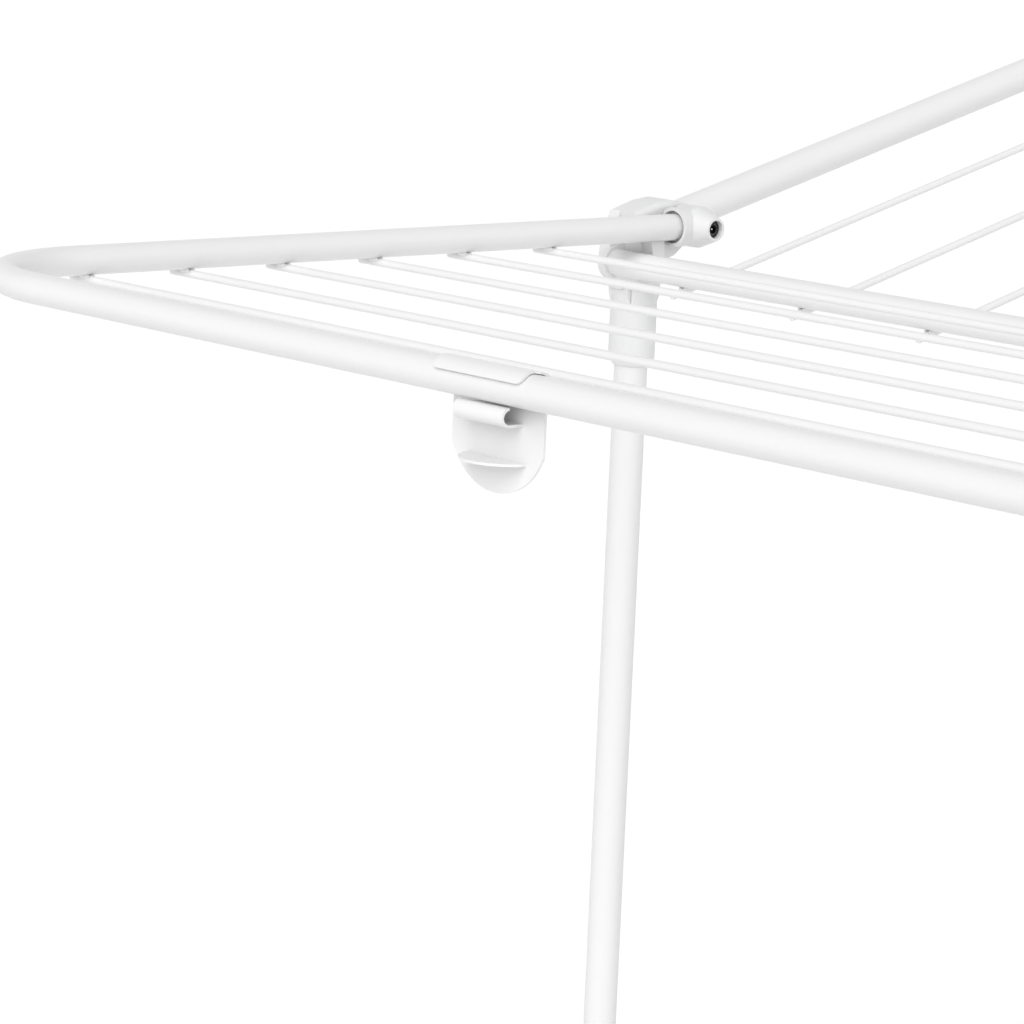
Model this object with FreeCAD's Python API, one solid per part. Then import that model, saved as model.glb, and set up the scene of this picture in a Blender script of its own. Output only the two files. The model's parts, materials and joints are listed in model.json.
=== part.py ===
"""Winged folding drying rack: tube frame, wire panels, folding wings, folding legs and hanger clips.

Millimetres. X runs along the rack, Y across it, Z up, with the floor at Z = 0 and the origin under
the middle of the rack. Each corner is drawn once in corner coordinates: u runs inboard along the
rack, v outward across it and w up, all from the point where the wing's pivot meets the arm's axis.
"""
import FreeCAD, Part
import math
import os

V = FreeCAD.Vector

# Tubes and wires
WING_TUBE_R = 6.0
MAIN_TUBE_R = 7.6
TUBE_WALL = 1.0
WIRE_R = 1.7
WELD_SINK = 0.05

# Wing pivots and the rack's overall layout
PIVOT_X = 500.0
PIVOT_Z = 880.0
ARM_Y = 320.0
RAIL_V = 17.3
WING_TILT = 14.6

# Wings
WING_LENGTH = 409.0
CORNER_R = 64.0
ARM_END = 4.0
WING_WIRES = 6
WING_WIRE_FIRST = 338.2
WING_WIRE_PITCH = 50.2
WIRE_OVERRUN = 9.3

# Centre panel
END_RAIL_U = -33.6
END_RAIL_W = -9.0
RAIL_END_U = -22.0
CENTRE_WIRES = 9
CENTRE_WIRE_PITCH = 73.25
WIRE_TAIL = 8.6

# Corner brackets, as distances out from the arm's axis
BRACKET_INNER_V = 6.9
BRACKET_OUTER_V = 26.6
DOME_ROUND = 4.0
INNER_ROUND = 3.0
ROUND_ABOVE_W = 7.0
FLANK_INNER_V = 17.6
END_RAIL_END_V = 19.5
BARREL_R = 7.6
BARREL_WALL = 1.2
BARREL_OUTER_V = 20.8
FLOOR_W = -12.8
WEB_THICK = 0.8
WEB_LOW_U = -35.5
WEB_HIGH_U = -13.5
REST_TOP_U = (-25.0, -17.0)
REST_ROOT_U = (-19.0, -25.0)
REST_INNER_V = 1.0
BEDDING = 1.0
HOUSING_OUTLINE = [(-26, 13), (-19.5, 13.4), (-11.5, 13.6), (-3, 12.4), (6.6, 7.9), (6.6, -8.6),
                   (0, -9.6), (-7, -12.6), (-13, FLOOR_W), (-26, FLOOR_W)]
FLANK_OUTLINE = [(-26, 13), (-20, 13.2), (-20, FLOOR_W), (-37, FLOOR_W), (-37.6, -7),
                 (-34.8, 0), (-28, 9.8)]

# Legs: the right pair stands further in, so that it folds between the left pair
LEG_SPLAY = 14.3
LEG_PIVOT_U = -24.3
LEG_PIVOT_W = -24.0
LEG_INSET = {-1: 0.0, 1: 24.0}
SLEEVE_R = 10.6
SLEEVE_END = 31.8
SLEEVE_TAPER = 3.4
TONGUE_R = 10.2
SLEEVE_TAPER_WALL = 0.7
CHEEK_INNER = 6.7
CHEEK_OUTER = 12.0
CHEEK_HALF = 13.0
PIN_REACH = 10.1
NECK_U = (-37.8, -18.0)
NECK_W = (-30.0, -12.4)
CUP_LOW_R = 11.2
CUP_HIGH_R = 17.6
CUP_HEIGHT = 14.5
LEG_TOP = 16.0
FOOT_PAD_R = 12.8
FOOT_PAD_DRAFT = 1.0
FOOT_PAD_HEIGHT = 5.0
FOOT_TUBE_R = 10.0
FOOT_LENGTH = 36.0
LEG_CLEAR_OF_FLOOR = 7.0
CROSS_BAR_AT = 420.0
CROSS_BAR_OFFSET = 15.2
CLAMP_R = 9.6
CLAMP_HALF = 11.0
CLAMP_CUP_R = 7.8
CLAMP_CUP_DEPTH = 12.0
CLAMP_CUP_END = 2.4

# Hinges
DRUM_R = 9.4
DRUM_INNER_V = 6.0
DRUM_SHOULDER_V = -5.0
BOSS_FACE_V = -15.5
BOSS_FACE_R = 5.3
COLLAR_R = 8.9
COLLAR_END = 12.6
COLLAR_MOUTH_R = 7.4
COLLAR_MOUTH_DEPTH = 3.6
SCREW_R = 2.5
SCREW_GRIP = 5.0
SCREW_HEAD_R = 3.7
SCREW_HEAD_HEIGHT = 2.6
DRIVE_R = 1.9
DRIVE_FLOOR = 0.8
WASHER_R = 7.0
RECESS_R = 4.1
RECESS_DEPTH = 4.6
PIN_R = 2.5
RUNNING_FIT = 0.05
GAP = 0.3
CUT_PAST = 60.0

# Hanger clip
CLIP_THICK = 0.9
STRIP_LOW_ALONG = -20.4
STRIP_HIGH_ALONG = 23.2
STRIP_EDGE_DEG = 154.6
STRIP_ROUND = 2.6
TAB_LOW_ALONG = -22.6
TAB_ROOT_RISE_DEG = 20.0
TAB_EDGE_DEG = 88.0
PLATE_FACE = 4.5
PLATE_LOW_ALONG = -21.4
PLATE_HIGH_ALONG = 23.8
PLATE_SIDE_DROP = 22.0
PLATE_DROP = 37.0
LIP_R = 3.35
LIP_REACH = 9.5
LIP_DROP = 9.7
LIP_WIDTH = 24.5
LIP_TURN_DEG = (-90.0, -268.0)
TONGUE_DROP = 26.0
TONGUE_REACH = 12.0
TONGUE_WIDTH = 30.0
TONGUE_RIM_TURNS = (0.55, 1.0, 1.45)
TONGUE_ROOT_SHARE = 0.95

ENDS = {"left": -1, "right": 1}
SIDES = {"front": -1, "back": 1}

TILT = math.radians(WING_TILT)
SPLAY = math.radians(LEG_SPLAY)
RAIL_Y = ARM_Y + RAIL_V


# ---------------------------------------------------------------- placing and basic solids

def corner(end, side):
    """Return the function that turns corner coordinates (u, v, w) into the rack's own."""
    def at(u, v, w):
        return V(end * (PIVOT_X - u), side * (ARM_Y + v), PIVOT_Z + w)
    return at


def rod(start, finish, radius):
    """A round bar between two points."""
    axis = finish - start
    return Part.makeCylinder(radius, axis.Length, start, axis)


def tube(start, finish, radius):
    """A round tube between two points."""
    return rod(start, finish, radius).cut(rod(start, finish, radius - TUBE_WALL))


def slab(at, outline, v_low, v_high):
    """Extrude a corner outline, a list of (u, w) points, from one v to another."""
    points = [at(u, v_low, w) for u, w in outline]
    face = Part.Face(Part.makePolygon(points + points[:1]))
    return face.extrude(at(0, v_high, 0) - at(0, v_low, 0))


def disc(at, u, w, radius, v_low, v_high):
    """A round boss with its axis across the rack."""
    return rod(at(u, v_low, w), at(u, v_high, w), radius)


def rounded(shape, radius, y, lowest):
    """Round the edges that lie in one plane across the rack, no lower than a given height."""
    chosen = [e for e in shape.Edges if all(abs(v.Y - y) < 0.01 and v.Z > lowest for v in e.Vertexes)]
    return shape.makeFillet(radius, chosen)


def save(name, shape):
    """Write one sub-part, a solid or a group of separate solids."""
    shape.exportStep("parts/%s.step" % name)


# ---------------------------------------------------------------- directions and places

def arm_point(end, s, y, drop=0.0):
    """A point s along the wing arm from its pivot, and drop below the wing's plane."""
    u = -s * math.cos(TILT) - drop * math.sin(TILT)
    w = s * math.sin(TILT) - drop * math.cos(TILT)
    return V(end * (PIVOT_X - u), y, PIVOT_Z + w)


def leg_point(end, side, s, out=0.0):
    """A point s down the leg from its pivot, and out beyond the leg's outer face."""
    u = LEG_PIVOT_U - s * math.sin(SPLAY) - out * math.cos(SPLAY)
    w = LEG_PIVOT_W - s * math.cos(SPLAY) + out * math.sin(SPLAY)
    y = side * (RAIL_Y - LEG_INSET[end])
    return V(end * (PIVOT_X - u), y, PIVOT_Z + w)


def leg_length():
    """Distance down the leg from its pivot to the floor."""
    return (PIVOT_Z + LEG_PIVOT_W) / math.cos(SPLAY)


# ---------------------------------------------------------------- centre panel

def side_rail(side):
    """Long tube along one side, held by a corner bracket at each end."""
    reach = PIVOT_X - RAIL_END_U
    rail = tube(V(-reach, side * RAIL_Y, PIVOT_Z), V(reach, side * RAIL_Y, PIVOT_Z), MAIN_TUBE_R)
    for end in ENDS.values():
        rail = rail.cut(rod(corner(end, side)(0, 0, 0), corner(end, side)(0, RAIL_V, 0), SCREW_R))
    return rail


def end_rail(end):
    """Cross tube that joins the two corner brackets at one end."""
    at_front = corner(end, -1)(END_RAIL_U, END_RAIL_END_V, END_RAIL_W)
    at_back = corner(end, 1)(END_RAIL_U, END_RAIL_END_V, END_RAIL_W)
    return tube(at_front, at_back, WING_TUBE_R)


def centre_wires():
    """Long wires welded under the end rails, their tails run on past the rails."""
    level = PIVOT_Z + END_RAIL_W - WING_TUBE_R - WIRE_R + WELD_SINK
    reach = PIVOT_X - END_RAIL_U
    wires = []
    for n in range(CENTRE_WIRES):
        y = (n - (CENTRE_WIRES - 1) / 2.0) * CENTRE_WIRE_PITCH
        wires.append(rod(V(-reach - WIRE_TAIL, y, level), V(reach + WIRE_TAIL, y, level), WIRE_R))
    return Part.makeCompound(wires)


def corner_bracket(end, side):
    """Moulded corner: a housing round the side rail's end, a flank for the end rail, a leg fork."""
    at = corner(end, side)
    core = slab(at, HOUSING_OUTLINE, BRACKET_INNER_V, BRACKET_OUTER_V)
    flank = slab(at, FLANK_OUTLINE, FLANK_INNER_V, BRACKET_OUTER_V)
    dome = rounded(core.fuse(flank).removeSplitter(), DOME_ROUND, at(0, BRACKET_OUTER_V, 0).y, 0.0)
    dome = rounded(dome, INNER_ROUND, at(0, BRACKET_INNER_V, 0).y, PIVOT_Z + ROUND_ABOVE_W)
    barrel = disc(at, END_RAIL_U, END_RAIL_W, BARREL_R, FLANK_INNER_V - BARREL_WALL, BARREL_OUTER_V)
    body = dome.fuse(barrel).fuse(arm_rest(at)).fuse(leg_fork(at, end, side))
    rail_room = rod(at(RAIL_END_U, RAIL_V, 0), at(CUT_PAST, RAIL_V, 0), MAIN_TUBE_R)
    end_rail_room = disc(at, END_RAIL_U, END_RAIL_W, WING_TUBE_R, -CUT_PAST, END_RAIL_END_V)
    body = body.cut(rail_room).cut(end_rail_room).cut(disc(at, 0, 0, SCREW_R, -CUT_PAST, RAIL_V))
    return body.cut(leg_room(at, RAIL_V - LEG_INSET[end])).removeSplitter()


def leg_fork(at, end, side):
    """Cup and cheeks that carry the leg's pin; the cheeks continue the leg sleeve's round."""
    mid = RAIL_V - LEG_INSET[end]
    pivot = leg_point(end, side, 0)
    upward = leg_point(end, side, -1) - pivot
    cup = Part.makeCone(CUP_LOW_R, CUP_HIGH_R, CUP_HEIGHT, pivot, upward)
    neck = [(NECK_U[0], NECK_W[0]), (NECK_U[0], NECK_W[1]), (NECK_U[1], NECK_W[1]),
            (NECK_U[1], NECK_W[0])]
    cup = cup.common(slab(at, neck, mid - SLEEVE_R, BRACKET_OUTER_V))
    cheeks = rod(leg_point(end, side, -CHEEK_HALF), leg_point(end, side, CHEEK_HALF), SLEEVE_R)
    cheeks = cheeks.common(disc(at, LEG_PIVOT_U, LEG_PIVOT_W, SLEEVE_R, mid - CHEEK_OUTER,
                                mid + CHEEK_OUTER))
    return cup.fuse(cheeks).fuse(web(at, mid))


def leg_room(at, mid):
    """Space between the cheeks in which the leg's tongue turns, and the hole for its pin."""
    low, high = mid - CHEEK_INNER, mid + CHEEK_INNER
    room = SLEEVE_R + GAP
    slot = disc(at, LEG_PIVOT_U, LEG_PIVOT_W, room, low, high)
    way_in = slab(at, [(LEG_PIVOT_U, -CUT_PAST), (LEG_PIVOT_U, LEG_PIVOT_W + room),
                       (CUT_PAST, LEG_PIVOT_W + room), (CUT_PAST, -CUT_PAST)], low, high)
    pin = disc(at, LEG_PIVOT_U, LEG_PIVOT_W, PIN_R, mid - PIN_REACH, mid + PIN_REACH)
    return slot.fuse(way_in).fuse(pin)


def web(at, mid):
    """Web under the housing that reaches as far in as the leg's plane does."""
    top = FLOOR_W + WEB_THICK
    return slab(at, [(WEB_LOW_U, top), (WEB_HIGH_U, top), (WEB_HIGH_U, FLOOR_W),
                     (WEB_LOW_U, FLOOR_W)], mid - SLEEVE_R, BRACKET_INNER_V + BEDDING)


def arm_rest(at):
    """Ledge on the housing's inner face, on which the wing's arm comes to rest."""
    under_arm = WING_TUBE_R / math.cos(TILT) + GAP
    top = [(u, -u * math.tan(TILT) - under_arm) for u in REST_TOP_U]
    root = [(u, FLOOR_W + WEB_THICK) for u in REST_ROOT_U]
    return slab(at, top + root, REST_INNER_V, BRACKET_INNER_V + BEDDING)


def hinge_screws():
    """Screws on which the wings turn, each set in a side rail."""
    screws = []
    for end in ENDS.values():
        for side in SIDES.values():
            at = corner(end, side)
            head_v = BOSS_FACE_V + RECESS_DEPTH
            shank = disc(at, 0, 0, SCREW_R, head_v, RAIL_V - MAIN_TUBE_R + SCREW_GRIP)
            head = disc(at, 0, 0, SCREW_HEAD_R, head_v - SCREW_HEAD_HEIGHT, head_v)
            drive = disc(at, 0, 0, DRIVE_R, head_v - SCREW_HEAD_HEIGHT, head_v - DRIVE_FLOOR)
            screws.append(shank.fuse(head).cut(drive))
    return Part.makeCompound(screws)


def hinge_washers():
    """Spacers between the wings' knuckles and the corner brackets."""
    washers = []
    for end in ENDS.values():
        for side in SIDES.values():
            at = corner(end, side)
            ring = disc(at, 0, 0, WASHER_R, DRUM_INNER_V + GAP, BRACKET_INNER_V)
            washers.append(ring.cut(disc(at, 0, 0, SCREW_R, 0, RAIL_V)))
    return Part.makeCompound(washers)


def leg_pins():
    """Pins on which the legs turn, pressed into the forks' cheeks."""
    pins = []
    for end in ENDS.values():
        for side in SIDES.values():
            at = corner(end, side)
            mid = RAIL_V - LEG_INSET[end]
            pins.append(disc(at, LEG_PIVOT_U, LEG_PIVOT_W, PIN_R, mid - PIN_REACH, mid + PIN_REACH))
    return Part.makeCompound(pins)


# ---------------------------------------------------------------- wings

def wing_path(end):
    """Centre line of the U-shaped wing tube, from one arm's end round to the other's."""
    bend = CORNER_R * (1 - math.sqrt(0.5))
    far = WING_LENGTH
    near = far - CORNER_R
    wide = ARM_Y
    inner = ARM_Y - CORNER_R
    front = Part.Arc(arm_point(end, near, -wide), arm_point(end, far - bend, -wide + bend),
                     arm_point(end, far, -inner))
    back = Part.Arc(arm_point(end, far, inner), arm_point(end, far - bend, wide - bend),
                    arm_point(end, near, wide))
    return Part.Wire([
        Part.LineSegment(arm_point(end, ARM_END, -wide), arm_point(end, near, -wide)).toShape(),
        front.toShape(),
        Part.LineSegment(arm_point(end, far, -inner), arm_point(end, far, inner)).toShape(),
        back.toShape(),
        Part.LineSegment(arm_point(end, near, wide), arm_point(end, ARM_END, wide)).toShape(),
    ])


def wing_tube(end):
    """U-shaped tube: two arms and the tip bar between them."""
    path = wing_path(end)
    start = arm_point(end, ARM_END, -ARM_Y)
    along = arm_point(end, WING_LENGTH, -ARM_Y) - start
    shells = []
    for radius in (WING_TUBE_R, WING_TUBE_R - TUBE_WALL):
        ring = Part.Wire(Part.Circle(start, along, radius).toShape())
        shells.append(path.makePipeShell([ring], True, True))
    return shells[0].cut(shells[1])


def wing_wires(end):
    """Cross wires welded under the arms."""
    drop = WING_TUBE_R + WIRE_R - WELD_SINK
    reach = ARM_Y + WIRE_OVERRUN
    wires = []
    for n in range(WING_WIRES):
        s = WING_WIRE_FIRST - n * WING_WIRE_PITCH
        wires.append(rod(arm_point(end, s, -reach, drop), arm_point(end, s, reach, drop), WIRE_R))
    return Part.makeCompound(wires)


def knuckle(end, side):
    """Moulded knuckle on the arm's end: a drum round the pivot, a tapered boss and a collar."""
    y = side * ARM_Y
    at = corner(end, side)
    drum = disc(at, 0, 0, DRUM_R, DRUM_SHOULDER_V, DRUM_INNER_V)
    boss = Part.makeCone(DRUM_R, BOSS_FACE_R, DRUM_SHOULDER_V - BOSS_FACE_V,
                         at(0, DRUM_SHOULDER_V, 0), at(0, BOSS_FACE_V, 0) - at(0, 0, 0))
    collar = rod(arm_point(end, 0, y), arm_point(end, COLLAR_END, y), COLLAR_R)
    beyond = [(-CUT_PAST, -CUT_PAST), (CUT_PAST, -CUT_PAST), (CUT_PAST, CUT_PAST),
              (-CUT_PAST, CUT_PAST)]
    collar = collar.cut(slab(at, beyond, DRUM_INNER_V, CUT_PAST))
    shape = drum.fuse(boss).fuse(collar)
    shape = shape.cut(rod(arm_point(end, ARM_END, y), arm_point(end, CUT_PAST, y), WING_TUBE_R))
    mouth = arm_point(end, COLLAR_END - COLLAR_MOUTH_DEPTH, y)
    shape = shape.cut(rod(mouth, arm_point(end, CUT_PAST, y), COLLAR_MOUTH_R))
    shape = shape.cut(disc(at, 0, 0, SCREW_R + RUNNING_FIT, -CUT_PAST, CUT_PAST))
    recess_floor = BOSS_FACE_V + RECESS_DEPTH + GAP
    return shape.cut(disc(at, 0, 0, RECESS_R, -CUT_PAST, recess_floor)).removeSplitter()


# ---------------------------------------------------------------- legs

def leg_tube(end, side):
    """Straight leg from its bracket to its foot."""
    low = leg_length() - LEG_CLEAR_OF_FLOOR
    return tube(leg_point(end, side, LEG_TOP), leg_point(end, side, low), MAIN_TUBE_R)


def leg_bracket(end, side):
    """Moulded sleeve on the leg's top, its middle carried up as the tongue that turns in the fork."""
    at = corner(end, side)
    mid = RAIL_V - LEG_INSET[end]
    half = CHEEK_INNER - GAP
    pivot = leg_point(end, side, 0)
    sleeve = rod(pivot, leg_point(end, side, SLEEVE_END), SLEEVE_R)
    for low, high in ((mid - CHEEK_OUTER, mid - half), (mid + half, mid + CHEEK_OUTER)):
        sleeve = sleeve.cut(disc(at, LEG_PIVOT_U, LEG_PIVOT_W, SLEEVE_R + GAP, low, high))
    tongue = disc(at, LEG_PIVOT_U, LEG_PIVOT_W, TONGUE_R, mid - half, mid + half)
    low_end = leg_point(end, side, SLEEVE_END)
    taper = Part.makeCone(SLEEVE_R, MAIN_TUBE_R + SLEEVE_TAPER_WALL, SLEEVE_TAPER, low_end,
                          low_end - pivot)
    shape = sleeve.fuse(tongue).fuse(taper)
    shape = shape.cut(rod(leg_point(end, side, LEG_TOP), leg_point(end, side, CUT_PAST), MAIN_TUBE_R))
    return shape.cut(disc(at, LEG_PIVOT_U, LEG_PIVOT_W, PIN_R + RUNNING_FIT, mid - CHEEK_OUTER,
                          mid + CHEEK_OUTER))


def foot(end, side):
    """Cap on the leg's end with a level sole."""
    length = leg_length()
    cap = rod(leg_point(end, side, length - FOOT_LENGTH), leg_point(end, side, length + FOOT_PAD_R),
              FOOT_TUBE_R)
    sole = leg_point(end, side, length)
    pad = Part.makeCone(FOOT_PAD_R, FOOT_PAD_R - FOOT_PAD_DRAFT, FOOT_PAD_HEIGHT, sole, V(0, 0, 1))
    under = V(sole.x - CUT_PAST, sole.y - CUT_PAST, -CUT_PAST)
    shape = cap.fuse(pad).cut(Part.makeBox(2 * CUT_PAST, 2 * CUT_PAST, CUT_PAST, under))
    top = leg_point(end, side, length - CUT_PAST)
    return shape.cut(rod(top, leg_point(end, side, length - LEG_CLEAR_OF_FLOOR), MAIN_TUBE_R))


def cross_bar(end):
    """Tube across the outer faces of one pair of legs."""
    front = leg_point(end, -1, CROSS_BAR_AT, CROSS_BAR_OFFSET)
    back = leg_point(end, 1, CROSS_BAR_AT, CROSS_BAR_OFFSET)
    return tube(front, back, WING_TUBE_R)


def cross_bar_clamps(end):
    """Moulded clamps that hold the cross bar's ends on the legs."""
    clamps = []
    for side in SIDES.values():
        around_leg = rod(leg_point(end, side, CROSS_BAR_AT - CLAMP_HALF),
                         leg_point(end, side, CROSS_BAR_AT + CLAMP_HALF), CLAMP_R)
        centre = leg_point(end, side, CROSS_BAR_AT, CROSS_BAR_OFFSET)
        inward = V(0, -side, 0)
        cup = rod(centre - inward * CLAMP_CUP_END, centre + inward * CLAMP_CUP_DEPTH, CLAMP_CUP_R)
        leg_room_above = leg_point(end, side, CROSS_BAR_AT - CUT_PAST)
        leg_room_below = leg_point(end, side, CROSS_BAR_AT + CUT_PAST)
        clamp = around_leg.fuse(cup).cut(rod(leg_room_above, leg_room_below, MAIN_TUBE_R))
        clamps.append(clamp.cut(rod(centre, centre + inward * CUT_PAST, WING_TUBE_R)))
    return Part.makeCompound(clamps)


# ---------------------------------------------------------------- hanger clip

def clip_point(end, inboard, along, up):
    """A point from the tip bar's axis: inboard and up follow the wing's plane, along runs across."""
    return arm_point(end, WING_LENGTH - inboard, -end * along, -up)


def bent_sheet(end, centre, radius, sides, angles):
    """Sheet bent round an axis along the tip bar; angles turn from inboard up and over."""
    turns = [math.radians(angles[0] + (angles[1] - angles[0]) * f) for f in (0.0, 0.5, 1.0)]
    arcs = []
    for r in (radius, radius + CLIP_THICK):
        arcs.append([clip_point(end, centre[0] + r * math.cos(a), sides[0],
                                centre[1] + r * math.sin(a)) for a in turns])
    inner, outer = arcs
    edges = [Part.Arc(*outer).toShape(), Part.LineSegment(outer[2], inner[2]).toShape(),
             Part.Arc(*inner[::-1]).toShape(), Part.LineSegment(inner[0], outer[0]).toShape()]
    along = clip_point(end, 0, sides[1], 0) - clip_point(end, 0, sides[0], 0)
    return Part.Face(Part.Wire(edges)).extrude(along)


def clip_strip(end):
    """Strip that hooks over the tip bar, its free corners rounded, with a tab at one end."""
    inner_r = WING_TUBE_R + GAP
    root_deg = -math.degrees(math.acos(PLATE_FACE / inner_r))
    strip = bent_sheet(end, (0, 0), inner_r, (STRIP_LOW_ALONG, STRIP_HIGH_ALONG),
                       (root_deg, STRIP_EDGE_DEG))
    edge = math.radians(STRIP_EDGE_DEG)
    mid_r = inner_r + CLIP_THICK / 2.0
    corners = [clip_point(end, mid_r * math.cos(edge), along, mid_r * math.sin(edge))
               for along in (STRIP_LOW_ALONG, STRIP_HIGH_ALONG)]
    free = [e for e in strip.Edges
            if min(e.CenterOfMass.distanceToPoint(c) for c in corners) < CLIP_THICK / 4.0]
    strip = strip.makeFillet(STRIP_ROUND, free)
    tab = bent_sheet(end, (0, 0), inner_r, (TAB_LOW_ALONG, STRIP_LOW_ALONG),
                     (root_deg + TAB_ROOT_RISE_DEG, TAB_EDGE_DEG))
    return strip.fuse(tab)


def clip_plate(end):
    """Hanging plate, square above and round below."""
    top = -math.sqrt((WING_TUBE_R + GAP) ** 2 - PLATE_FACE ** 2)
    low, high = PLATE_LOW_ALONG, PLATE_HIGH_ALONG
    corners = [clip_point(end, PLATE_FACE, along, up) for along, up in
               ((high, -PLATE_SIDE_DROP), (high, top), (low, top), (low, -PLATE_SIDE_DROP))]
    lowest = clip_point(end, PLATE_FACE, (low + high) / 2.0, -PLATE_DROP)
    edges = [Part.LineSegment(a, b).toShape() for a, b in zip(corners, corners[1:])]
    edges.append(Part.Arc(corners[3], lowest, corners[0]).toShape())
    thick = clip_point(end, CLIP_THICK, 0, 0) - clip_point(end, 0, 0, 0)
    return Part.Face(Part.Wire(edges)).extrude(thick)


def clip_tongue(end):
    """Half-round tongue that stands out from the plate and carries the hook."""
    centre = PLATE_FACE - TONGUE_REACH + TONGUE_WIDTH / 2.0
    middle = (PLATE_LOW_ALONG + PLATE_HIGH_ALONG) / 2.0
    radius = TONGUE_WIDTH / 2.0
    rim = [clip_point(end, centre + radius * math.cos(a), middle + radius * math.sin(a),
                      -TONGUE_DROP) for a in (math.pi * turn for turn in TONGUE_RIM_TURNS)]
    ends = [clip_point(end, PLATE_FACE + CLIP_THICK / 2.0, middle + half, -TONGUE_DROP)
            for half in (-radius * TONGUE_ROOT_SHARE, radius * TONGUE_ROOT_SHARE)]
    edges = [Part.Arc(*rim).toShape(), Part.LineSegment(rim[2], ends[0]).toShape(),
             Part.LineSegment(ends[0], ends[1]).toShape(),
             Part.LineSegment(ends[1], rim[0]).toShape()]
    thick = clip_point(end, 0, 0, CLIP_THICK) - clip_point(end, 0, 0, 0)
    return Part.Face(Part.Wire(edges)).extrude(thick)


def clip_lip(end):
    """Lip that stands out from the plate under the tip bar and curls up and back."""
    curl_at = PLATE_FACE - LIP_REACH + LIP_R
    middle = (PLATE_LOW_ALONG + PLATE_HIGH_ALONG) / 2.0
    low, high = middle - LIP_WIDTH / 2.0, middle + LIP_WIDTH / 2.0
    curl = bent_sheet(end, (curl_at, -LIP_DROP), LIP_R - CLIP_THICK, (low, high), LIP_TURN_DEG)
    root = PLATE_FACE + CLIP_THICK / 2.0
    ledge = [clip_point(end, inboard, along, -LIP_DROP - LIP_R) for inboard, along in
             ((curl_at, low), (root, low), (root, high), (curl_at, high))]
    thick = clip_point(end, 0, 0, CLIP_THICK) - clip_point(end, 0, 0, 0)
    return curl.fuse(Part.Face(Part.makePolygon(ledge + ledge[:1])).extrude(thick))


def hanger_clip(end):
    """Sheet clip over the middle of the tip bar: strip, hanging plate, rolled lip and tongue."""
    clip = clip_strip(end).fuse(clip_plate(end)).fuse(clip_lip(end)).fuse(clip_tongue(end))
    return clip.removeSplitter()


# ---------------------------------------------------------------- writing the sub-parts

def write_centre():
    """Write the centre panel, its corner brackets, and their screws, washers and pins."""
    for side_name, side in SIDES.items():
        save("side_rail_%s" % side_name, side_rail(side))
    for end_name, end in ENDS.items():
        save("end_rail_%s" % end_name, end_rail(end))
        for side_name, side in SIDES.items():
            save("corner_bracket_%s_%s" % (end_name, side_name), corner_bracket(end, side))
    save("centre_wires", centre_wires())
    save("hinge_screws", hinge_screws())
    save("hinge_washers", hinge_washers())
    save("leg_pins", leg_pins())


def write_wing(end_name, end):
    """Write one wing and its clip."""
    save("wing_tube_%s" % end_name, wing_tube(end))
    save("wing_wires_%s" % end_name, wing_wires(end))
    save("hanger_clip_%s" % end_name, hanger_clip(end))
    for side_name, side in SIDES.items():
        save("wing_knuckle_%s_%s" % (end_name, side_name), knuckle(end, side))


def write_legs(end_name, end):
    """Write one pair of legs."""
    for side_name, side in SIDES.items():
        save("leg_%s_%s" % (end_name, side_name), leg_tube(end, side))
        save("leg_bracket_%s_%s" % (end_name, side_name), leg_bracket(end, side))
        save("foot_%s_%s" % (end_name, side_name), foot(end, side))
    save("cross_bar_%s" % end_name, cross_bar(end))
    save("cross_bar_clamps_%s" % end_name, cross_bar_clamps(end))


os.makedirs("parts", exist_ok=True)
write_centre()
for name, sign in ENDS.items():
    write_wing(name, sign)
    write_legs(name, sign)
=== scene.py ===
"""Winged folding drying rack: coated finishes, welds and trims, a white studio and the camera.

Metres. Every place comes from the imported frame: the record's joints, and the ends of the wires and
tubes, which are read from the CAD nodes' own meshes.
"""
import json
import math
import bmesh
import bpy
import random
from mathutils import Matrix, Vector


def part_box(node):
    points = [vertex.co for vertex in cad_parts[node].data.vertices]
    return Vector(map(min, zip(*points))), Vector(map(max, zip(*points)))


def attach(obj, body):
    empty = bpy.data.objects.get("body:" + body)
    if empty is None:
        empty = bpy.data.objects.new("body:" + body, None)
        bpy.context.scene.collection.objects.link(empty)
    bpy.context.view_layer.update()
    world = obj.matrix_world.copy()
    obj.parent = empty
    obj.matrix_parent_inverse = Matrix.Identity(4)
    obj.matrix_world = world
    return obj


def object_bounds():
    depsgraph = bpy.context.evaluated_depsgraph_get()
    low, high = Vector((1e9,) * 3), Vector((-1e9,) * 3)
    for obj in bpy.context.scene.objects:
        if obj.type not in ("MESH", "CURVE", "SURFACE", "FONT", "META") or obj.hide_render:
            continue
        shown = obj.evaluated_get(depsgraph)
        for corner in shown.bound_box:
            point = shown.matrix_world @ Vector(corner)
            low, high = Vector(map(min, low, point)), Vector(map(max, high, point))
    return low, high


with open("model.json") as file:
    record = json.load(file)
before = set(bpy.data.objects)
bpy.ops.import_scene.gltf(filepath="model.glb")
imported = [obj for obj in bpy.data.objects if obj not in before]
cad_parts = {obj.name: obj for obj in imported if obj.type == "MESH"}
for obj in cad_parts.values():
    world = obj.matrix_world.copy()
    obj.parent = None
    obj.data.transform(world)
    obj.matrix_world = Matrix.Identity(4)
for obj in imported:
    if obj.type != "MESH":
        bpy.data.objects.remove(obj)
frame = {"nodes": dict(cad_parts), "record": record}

CAD_BOX = [list(corner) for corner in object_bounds()]

# Camera: where it stands from the left wing's pivot at the back, and how it is turned
CAMERA_FROM_PIVOT = Vector((-1.2080, -1.2990, 0.5186))
CAMERA_HEADING = 50.318
CAMERA_PITCH = 19.916
CAMERA_ROLL = -8.732
LENS_MM = 142.92
SENSOR_MM = 36.0
CAMERA_SEES_TO = 200.0

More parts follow.
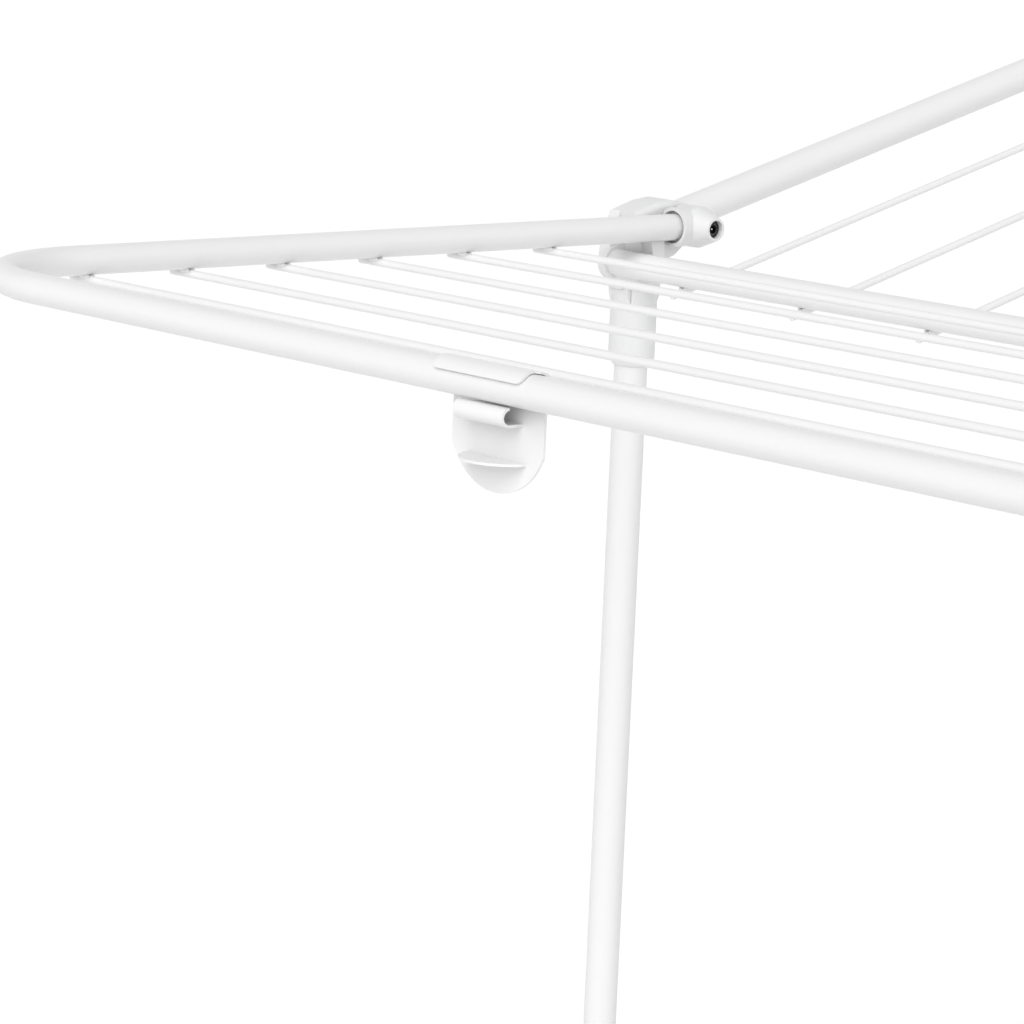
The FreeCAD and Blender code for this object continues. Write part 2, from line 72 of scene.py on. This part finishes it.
# Sizes shared with the rack
ARM_Y = 0.320
WING_TILT = math.radians(14.6)
LEG_SPLAY = math.radians(14.3)
WIRE_R = 0.0017
FOOT_R = 0.010

# Reading points off the frame's meshes
SAME_POINT = 0.000001
SAME_RIM = 0.00001
SAME_FACE = 0.0004

# Small details; the beads stand off the wire's middle by shares of its radius
TIP_BULGE = 0.0009
WELD_IN = 0.0093
TAIL_WELD_IN = 0.0086
WELD_SIZE = Vector((0.0013, 0.0030, 0.0012))
WELD_LUMPS = 0.045
WELD_RISE_SHARE = 0.8
WELD_SIDE_SHARE = 0.75
FOOT_RIB_R = 0.0006
FOOT_RIB_GAP = 0.005
FOOT_RIBS = 3
FOOT_RIB_FIRST_GAPS = 1.2
RIVET_R = 0.0032
RIVET_RISE = 0.0012
RIVET_SINK = 0.0006
DRIVE_DEPTH = 0.0018
# The bright pin in each screw's driver recess is a painted glint, not a part of the real screw.
GLINT_PIN_R = 0.0008
GLINT_PIN_RISE = 0.0014

# How wide the edges are softened on each kind of part, and how sharp an edge must be
SOFT_EDGES = {"corner_bracket": 0.0006, "wing_knuckle": 0.0006, "leg_bracket": 0.0006, "foot": 0.0008,
              "cross_bar_clamps": 0.0006, "hanger_clip": 0.00025, "hinge_screws": 0.0003}
SHARP_DEG = 35.0

# Light
KEY_STRENGTH = 2.3
KEY_AZIMUTH = 219.0
KEY_ELEVATION = 50.0
KEY_SPREAD = 55.0
HORIZON_LIGHT = 1.1
ZENITH_LIGHT = 0.5
FADE_FROM = 0.12
FADE_TO = 0.55
FLOOR_RADIUS = 80.0
FLOOR_DROP = 0.0005

ENDS = {"left": -1.0, "right": 1.0}
SIDES = ("front", "back")


# ---------------------------------------------------------------- reading the frame

def joint(name):
    """The record's entry for one joint."""
    return next(j for j in frame["record"]["behaviour"]["joints"] if j["name"] == name)


def solids(node):
    """The points of each separate solid in a CAD node."""
    mesh = frame["nodes"][node].data
    bm = bmesh.new()
    bm.from_mesh(mesh)
    bmesh.ops.remove_doubles(bm, verts=bm.verts, dist=SAME_POINT)
    groups = []
    seen = set()
    for start in bm.verts:
        if start in seen:
            continue
        group = []
        waiting = [start]
        seen.add(start)
        while waiting:
            vert = waiting.pop()
            group.append(vert.co.copy())
            for edge in vert.link_edges:
                other = edge.other_vert(vert)
                if other not in seen:
                    seen.add(other)
                    waiting.append(other)
        groups.append(group)
    bm.free()
    return groups


def rod_ends(node, axis):
    """For each straight wire in a node, the middle of its low end and of its high end."""
    ends = []
    for points in solids(node):
        low = min(p[axis] for p in points)
        high = max(p[axis] for p in points)
        middle = []
        for limit in (low, high):
            rim = [p for p in points if abs(p[axis] - limit) < SAME_RIM]
            centre = Vector((0.0, 0.0, 0.0))
            for k in range(3):
                centre[k] = (min(p[k] for p in rim) + max(p[k] for p in rim)) / 2.0
            middle.append(centre)
        ends.append(middle)
    return ends


# ---------------------------------------------------------------- node materials

class Nodes:
    """Short hand for building one material's node tree."""

    def __init__(self, name):
        self.material = bpy.data.materials.new(name)
        self.material.use_nodes = True
        self.tree = self.material.node_tree
        self.shader = self.tree.nodes["Principled BSDF"]
        coordinates = self.tree.nodes.new("ShaderNodeTexCoord")
        self.place = coordinates.outputs["Object"]

    def link(self, start, finish):
        self.tree.links.new(start, finish)

    def noise(self, scale, detail, stretch=None):
        """Noise at so many cells a metre, stretched along an axis if asked."""
        node = self.tree.nodes.new("ShaderNodeTexNoise")
        node.inputs["Scale"].default_value = scale
        node.inputs["Detail"].default_value = detail
        place = self.place
        if stretch is not None:
            mapping = self.tree.nodes.new("ShaderNodeMapping")
            mapping.inputs["Scale"].default_value = stretch
            self.link(place, mapping.inputs["Vector"])
            place = mapping.outputs["Vector"]
        self.link(place, node.inputs["Vector"])
        return node.outputs["Fac"]

    def between(self, fac, low, high, spread=0.18):
        """Turn noise into a value that runs from low to high."""
        node = self.tree.nodes.new("ShaderNodeMapRange")
        node.inputs["From Min"].default_value = 0.5 - spread
        node.inputs["From Max"].default_value = 0.5 + spread
        node.inputs["To Min"].default_value = low
        node.inputs["To Max"].default_value = high
        self.link(fac, node.inputs["Value"])
        return node.outputs["Result"]

    def tone(self, fac, dark, light):
        """Run the base colour between two tones."""
        node = self.tree.nodes.new("ShaderNodeMix")
        node.data_type = "RGBA"
        node.inputs["A"].default_value = (*dark, 1.0)
        node.inputs["B"].default_value = (*light, 1.0)
        self.link(fac, node.inputs["Factor"])
        self.link(node.outputs["Result"], self.shader.inputs["Base Color"])

    def bumps(self, layers):
        """Stack bump layers, each a noise output and its depth in metres."""
        normal = None
        for fac, depth in layers:
            node = self.tree.nodes.new("ShaderNodeBump")
            node.inputs["Distance"].default_value = depth
            self.link(fac, node.inputs["Height"])
            if normal is not None:
                self.link(normal, node.inputs["Normal"])
            normal = node.outputs["Normal"]
        self.link(normal, self.shader.inputs["Normal"])

    def set(self, **values):
        """Set sockets of the shader; underscores stand for spaces."""
        for name, value in values.items():
            self.shader.inputs[name.replace("_", " ")].default_value = value


def powder_coat():
    """Baked powder coat on tube: white, satin, with fine orange peel and slow waves of film build."""
    m = Nodes("powder coat")
    m.tone(m.between(m.noise(6.0, 3.0), 0.0, 1.0, 0.3), (0.692, 0.693, 0.692), (0.708, 0.708, 0.706))
    m.link(m.between(m.noise(40.0, 3.0), 0.33, 0.39, 0.3), m.shader.inputs["Roughness"])
    m.bumps([(m.noise(45.0, 2.0), 0.00003), (m.noise(900.0, 2.0), 0.000004)])
    m.set(Coat_Weight=0.05, Coat_Roughness=0.25, Specular_IOR_Level=0.3)
    return m.material


def wire_coat():
    """Thick dipped coat on wire, glossier than the tube's, with sags along its length."""
    m = Nodes("wire coat")
    m.tone(m.between(m.noise(15.0, 3.0), 0.0, 1.0, 0.3), (0.700, 0.702, 0.702), (0.718, 0.718, 0.716))
    m.link(m.between(m.noise(80.0, 3.0), 0.32, 0.4, 0.3), m.shader.inputs["Roughness"])
    m.bumps([(m.noise(120.0, 2.0), 0.00002), (m.noise(1500.0, 1.0), 0.000002)])
    m.set(Coat_Weight=0.05, Coat_Roughness=0.25, Specular_IOR_Level=0.3)
    return m.material


def moulded_plastic(name, dark, light, rough, grain):
    """Moulded plastic with flow marks, a fine eroded grain and a little light let through."""
    m = Nodes(name)
    flow = m.noise(70.0, 4.0, (1.0, 1.0, 0.35))
    m.tone(m.between(flow, 0.0, 1.0), dark, light)
    m.link(m.between(m.noise(220.0, 3.0), rough - 0.03, rough + 0.04, 0.3), m.shader.inputs["Roughness"])
    m.bumps([(m.noise(240.0, 2.0), 0.00001), (m.noise(3200.0, 2.0), grain)])
    m.set(Subsurface_Weight=0.04, Subsurface_Radius=(0.003, 0.003, 0.003), Subsurface_Scale=0.4)
    return m.material


def painted_sheet():
    """Smooth enamel on bent sheet metal."""
    m = Nodes("painted sheet")
    m.tone(m.between(m.noise(40.0, 3.0), 0.0, 1.0, 0.3), (0.715, 0.716, 0.716), (0.731, 0.731, 0.729))
    m.link(m.between(m.noise(120.0, 3.0), 0.33, 0.4, 0.3), m.shader.inputs["Roughness"])
    m.bumps([(m.noise(60.0, 2.0), 0.00002), (m.noise(1300.0, 1.0), 0.000002)])
    m.set(Coat_Weight=0.05, Coat_Roughness=0.25, Specular_IOR_Level=0.3)
    return m.material


def turned_steel(name, dark, light, rough):
    """Turned and plated steel with fine lines across its axis."""
    m = Nodes(name)
    lines = m.noise(900.0, 2.0, (1.0, 6.0, 1.0))
    m.tone(m.between(lines, 0.0, 1.0), dark, light)
    m.link(m.between(m.noise(1400.0, 2.0), rough - 0.05, rough + 0.08), m.shader.inputs["Roughness"])
    m.bumps([(lines, 0.00001)])
    m.set(Metallic=1.0)
    return m.material


def dress(materials):
    """Give each CAD node the finish of its kind."""
    kinds = (("side_rail", "tube"), ("end_rail", "tube"), ("wing_tube", "tube"), ("leg_pins", "steel"),
             ("leg_bracket", "grey"), ("leg_", "tube"), ("cross_bar_clamps", "grey"),
             ("cross_bar", "tube"), ("wing_wires", "wire"), ("centre_wires", "wire"),
             ("wing_knuckle", "white"), ("corner_bracket", "grey"), ("hinge_screws", "screw"),
             ("hinge_washers", "grey"), ("foot", "grey"), ("hanger_clip", "sheet"))
    for name, node in frame["nodes"].items():
        kind = next(k for start, k in kinds if name.startswith(start))
        node.data.materials.clear()
        node.data.materials.append(materials[kind])


def soften(start, width):
    """Break the sharp edges of the CAD nodes whose names start so."""
    for name, node in frame["nodes"].items():
        if name.startswith(start):
            bevel = node.modifiers.new("soft edges", "BEVEL")
            bevel.width = width
            bevel.segments = 2
            bevel.limit_method = "ANGLE"
            bevel.angle_limit = math.radians(SHARP_DEG)
            bevel.harden_normals = True


# ---------------------------------------------------------------- small pieces

def piece(name, bm, body, material):
    """Turn a mesh into a smooth piece that rides on a body."""
    mesh = bpy.data.meshes.new(name)
    bm.to_mesh(mesh)
    bm.free()
    for face in mesh.polygons:
        face.use_smooth = True
    mesh.materials.append(material)
    made = bpy.data.objects.new(name, mesh)
    bpy.context.collection.objects.link(made)
    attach(made, body)


def turn_to(direction, side):
    """Rotation that takes local z to a direction and local y near another."""
    z = direction.normalized()
    x = side.cross(z).normalized()
    return Matrix((x, z.cross(x), z)).transposed().to_4x4()


def blob(bm, centre, turn, size, rng):
    """A lumpy bead with these half-sizes along its own axes."""
    made = bmesh.ops.create_uvsphere(bm, u_segments=14, v_segments=9, radius=1.0)
    for vert in made["verts"]:
        lump = 1.0 + rng.uniform(-WELD_LUMPS, WELD_LUMPS)
        local = Vector((vert.co.x * size.x, vert.co.y * size.y, vert.co.z * size.z)) * lump
        vert.co = centre + (turn @ local)


def dome(bm, centre, axis, radius, rise):
    """A rounded cap that stands out from a flat round end."""
    turn = turn_to(axis, Vector((0.3, 0.2, 0.9)))
    rings = 6
    around = 20
    top = bm.verts.new(centre + turn @ Vector((0.0, 0.0, rise)))
    last = None
    for k in range(1, rings + 1):
        angle = math.pi / 2.0 * k / rings
        ring = []
        for n in range(around):
            spin = 2.0 * math.pi * n / around
            local = Vector((radius * math.sin(angle) * math.cos(spin),
                            radius * math.sin(angle) * math.sin(spin), rise * math.cos(angle)))
            ring.append(bm.verts.new(centre + turn @ local))
        for n in range(around):
            after = (n + 1) % around
            if last is None:
                bm.faces.new((top, ring[n], ring[after]))
            else:
                bm.faces.new((last[n], ring[n], ring[after], last[after]))
        last = ring
    bm.faces.new(list(reversed(last)))


def hoop(bm, centre, axis, radius, thick):
    """A thin ring round an axis."""
    turn = turn_to(axis, Vector((0.0, 1.0, 0.0)))
    around = 40
    section = 8
    rows = []
    for n in range(around):
        spin = 2.0 * math.pi * n / around
        row = []
        for k in range(section):
            angle = 2.0 * math.pi * k / section
            reach = radius + thick * math.cos(angle)
            local = Vector((reach * math.cos(spin), reach * math.sin(spin), thick * math.sin(angle)))
            row.append(bm.verts.new(centre + turn @ local))
        rows.append(row)
    for n in range(around):
        for k in range(section):
            m = (n + 1) % around
            j = (k + 1) % section
            bm.faces.new((rows[n][k], rows[m][k], rows[m][j], rows[n][j]))


def wire_details(body, node, axis, toward_tube, weld_in, materials):
    """Rounded tips and weld beads for the wires of one node."""
    rng = random.Random(len(node))
    tips = bmesh.new()
    beads = bmesh.new()
    for low, high in rod_ends(node, axis):
        along = (high - low).normalized()
        across = along.cross(toward_tube).normalized()
        for end, outward in ((low, -along), (high, along)):
            dome(tips, end, outward, WIRE_R, TIP_BULGE)
            middle = end - outward * weld_in + toward_tube * (WIRE_R * WELD_RISE_SHARE)
            for hand in (-1.0, 1.0):
                turn = turn_to(toward_tube, along).to_3x3()
                bead = middle + across * (hand * WIRE_R * WELD_SIDE_SHARE)
                blob(beads, bead, turn, WELD_SIZE, rng)
    piece("tips_" + node, tips, body, materials["wire"])
    piece("welds_" + node, beads, body, materials["tube"])


def wing_details(end_name, end, materials):
    """Tips and welds of one wing's wires."""
    up = Vector((-end * math.sin(WING_TILT), 0.0, math.cos(WING_TILT)))
    wire_details(end_name + "_wing", "wing_wires_" + end_name, 1, up, WELD_IN, materials)


def foot_ribs(end_name, end, materials):
    """Raised grip rings round each foot of one leg pair."""
    bm = bmesh.new()
    down = Vector((end * math.sin(LEG_SPLAY), 0.0, -math.cos(LEG_SPLAY)))
    for side_name in SIDES:
        low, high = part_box("foot_%s_%s" % (end_name, side_name))
        top_z = high[2] - FOOT_R * math.sin(LEG_SPLAY)
        pivot = Vector(joint(end_name + "_leg_fold")["pos_m"])
        pivot.y = (low[1] + high[1]) / 2.0
        start = pivot + down * ((pivot.z - top_z) / math.cos(LEG_SPLAY))
        for n in range(FOOT_RIBS):
            centre = start + down * (FOOT_RIB_GAP * (n + FOOT_RIB_FIRST_GAPS))
            hoop(bm, centre, down, FOOT_R, FOOT_RIB_R)
    piece("foot_ribs_" + end_name, bm, end_name + "_legs", materials["grey"])


def screw_glint_pins(materials):
    """A small bright pin in the driver recess of each hinge screw, a painted glint that the real screw does
    not have.
    """
    bm = bmesh.new()
    for points in solids("hinge_screws"):
        side = math.copysign(1.0, points[0].y)
        face = min(abs(p.y) for p in points)
        middle_x = (min(p.x for p in points) + max(p.x for p in points)) / 2.0
        middle_z = (min(p.z for p in points) + max(p.z for p in points)) / 2.0
        inward = Vector((0.0, -side, 0.0))
        floor = Vector((middle_x, side * (face + DRIVE_DEPTH), middle_z))
        dome(bm, floor, inward, GLINT_PIN_R, GLINT_PIN_RISE)
    piece("screw_glint_pins", bm, "frame", materials["steel"])


def clamp_rivets(end_name, materials):
    """Rivet heads on the outer faces of the cross bar's clamps."""
    bm = bmesh.new()
    for points in solids("cross_bar_clamps_" + end_name):
        middle = sum(points, Vector()) / len(points)
        outward = Vector((0.0, math.copysign(1.0, middle.y), 0.0))
        face = max(abs(p.y) for p in points)
        rim = [p for p in points if abs(abs(p.y) - face) < SAME_FACE]
        centre = sum(rim, Vector()) / len(rim)
        dome(bm, centre - outward * RIVET_SINK, outward, RIVET_R, RIVET_RISE)
    piece("clamp_rivets_" + end_name, bm, end_name + "_legs", materials["steel"])


# ---------------------------------------------------------------- studio

def add_camera():
    """Aim a long lens down at the left wing's far corner."""
    pivot = Vector(joint("left_wing_fold")["pos_m"])
    pivot.y = ARM_Y
    heading, pitch, roll = (math.radians(a) for a in (CAMERA_HEADING, CAMERA_PITCH, CAMERA_ROLL))
    forward = Vector((math.cos(heading) * math.cos(pitch), math.sin(heading) * math.cos(pitch),
                      -math.sin(pitch)))
    level = Vector((math.sin(heading), -math.cos(heading), 0.0))
    upright = level.cross(forward)
    right = level * math.cos(roll) + upright * math.sin(roll)
    up = upright * math.cos(roll) - level * math.sin(roll)
    data = bpy.data.cameras.new("camera")
    data.sensor_width = SENSOR_MM
    data.lens = LENS_MM
    data.clip_end = CAMERA_SEES_TO
    camera = bpy.data.objects.new("camera", data)
    bpy.context.collection.objects.link(camera)
    turn = Matrix((right, up, -forward)).transposed().to_4x4()
    camera.matrix_world = Matrix.Translation(pivot + CAMERA_FROM_PIVOT) @ turn
    bpy.context.scene.camera = camera


def add_surroundings():
    """White surroundings, brightest near the horizon and dimmer overhead."""
    world = bpy.data.worlds.new("studio")
    world.use_nodes = True
    tree = world.node_tree
    place = tree.nodes.new("ShaderNodeTexCoord")
    split = tree.nodes.new("ShaderNodeSeparateXYZ")
    fade = tree.nodes.new("ShaderNodeMapRange")
    fade.interpolation_type = "SMOOTHSTEP"
    fade.inputs["From Min"].default_value = FADE_FROM
    fade.inputs["From Max"].default_value = FADE_TO
    fade.inputs["To Min"].default_value = HORIZON_LIGHT
    fade.inputs["To Max"].default_value = ZENITH_LIGHT
    tree.links.new(place.outputs["Generated"], split.inputs["Vector"])
    tree.links.new(split.outputs["Z"], fade.inputs["Value"])
    tree.links.new(fade.outputs["Result"], tree.nodes["Background"].inputs["Strength"])
    tree.nodes["Background"].inputs["Color"].default_value = (1.0, 1.0, 1.0, 1.0)
    bpy.context.scene.world = world


def add_key():
    """One broad soft light from high on the left."""
    data = bpy.data.lights.new("key", "SUN")
    data.energy = KEY_STRENGTH
    data.angle = math.radians(KEY_SPREAD)
    lamp = bpy.data.objects.new("key", data)
    azimuth, elevation = math.radians(KEY_AZIMUTH), math.radians(KEY_ELEVATION)
    toward = Vector((math.cos(azimuth) * math.cos(elevation),
                     math.sin(azimuth) * math.cos(elevation), math.sin(elevation)))
    lamp.rotation_euler = toward.to_track_quat("Z", "Y").to_euler()
    bpy.context.collection.objects.link(lamp)


def add_floor():
    """Plain pale floor, faintly mottled."""
    m = Nodes("floor")
    m.tone(m.between(m.noise(0.7, 4.0), 0.0, 1.0), (0.90, 0.90, 0.90), (0.915, 0.915, 0.915))
    m.set(Roughness=0.9, Specular_IOR_Level=0.1)
    bm = bmesh.new()
    bmesh.ops.create_circle(bm, cap_ends=True, segments=96, radius=FLOOR_RADIUS)
    mesh = bpy.data.meshes.new("floor")
    bm.to_mesh(mesh)
    bm.free()
    mesh.materials.append(m.material)
    floor = bpy.data.objects.new("floor", mesh)
    floor.location.z = CAD_BOX[0][2] - FLOOR_DROP
    bpy.context.collection.objects.link(floor)


MATERIALS = {
    "tube": powder_coat(),
    "wire": wire_coat(),
    # The knuckle's plastic is the same white as the brackets', set a little darker as painted shade of its
    # boss.
    "white": moulded_plastic("white plastic with painted shade", (0.665, 0.668, 0.668), (0.685, 0.685, 0.682), 0.42, 0.000002),
    "grey": moulded_plastic("grey plastic", (0.675, 0.678, 0.679), (0.695, 0.697, 0.697), 0.48, 0.000003),
    "sheet": painted_sheet(),
    "steel": turned_steel("bright steel", (0.66, 0.66, 0.67), (0.78, 0.78, 0.79), 0.2),
    # The screw steel is darkened to near black as painted shade: it stands in for the dark of the deep
    # recesses round the screw heads, though the screws are taken as bright steel.
    "screw": turned_steel("screw steel in painted shade", (0.035, 0.035, 0.038), (0.07, 0.07, 0.075), 0.22),
}

dress(MATERIALS)
for name_start, edge_width in SOFT_EDGES.items():
    soften(name_start, edge_width)
for end_label, end_sign in ENDS.items():
    wing_details(end_label, end_sign, MATERIALS)
    foot_ribs(end_label, end_sign, MATERIALS)
    clamp_rivets(end_label, MATERIALS)
# Bright pins in the screw recesses: a painted glint.
screw_glint_pins(MATERIALS)
wire_details("frame", "centre_wires", 0, Vector((0.0, 0.0, 1.0)), TAIL_WELD_IN, MATERIALS)
add_camera()
add_surroundings()
add_key()
add_floor()
bpy.context.scene.view_settings.view_transform = "Standard"
